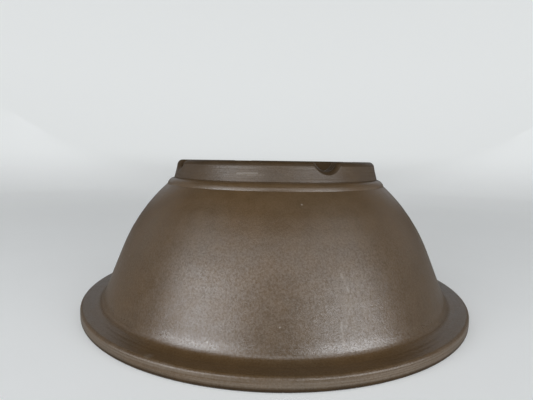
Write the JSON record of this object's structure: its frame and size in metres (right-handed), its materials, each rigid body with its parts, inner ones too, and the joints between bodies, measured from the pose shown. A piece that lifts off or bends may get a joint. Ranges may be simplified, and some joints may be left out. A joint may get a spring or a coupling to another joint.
{
  "type": "bonsai pot",
  "caption": "Round flared bonsai pot in unglazed brown stoneware, standing on its lip, with a notched foot ring, drain screens and wire clips.",
  "frame": {"origin": "centre of the plane that the lip rests on, pot standing on its lip as pictured", "axes": "+Z along the pot's axis from the lip to the foot ring; -Y faces the viewer. Turn 180 degrees about X to stand the pot on its foot for planting"},
  "size_m": [0.3, 0.3, 0.113],
  "materials": {
    "stoneware": "unglazed brown stoneware, satin, fine grain",
    "screen_plastic": "black moulded plastic mesh",
    "clip_wire": "brown anodised soft aluminium wire"
  },
  "bodies": {
    "root": {"rim_flange": "stoneware", "bowl_wall": "stoneware", "foot_bead": "stoneware", "foot_ring": "stoneware", "base_floor": "stoneware", "drain_mesh_1": "screen_plastic", "drain_mesh_2": "screen_plastic", "drain_mesh_3": "screen_plastic", "drain_mesh_4": "screen_plastic", "mesh_clip_1": "clip_wire", "mesh_clip_2": "clip_wire", "mesh_clip_3": "clip_wire", "mesh_clip_4": "clip_wire"}
  },
  "joints": []
}
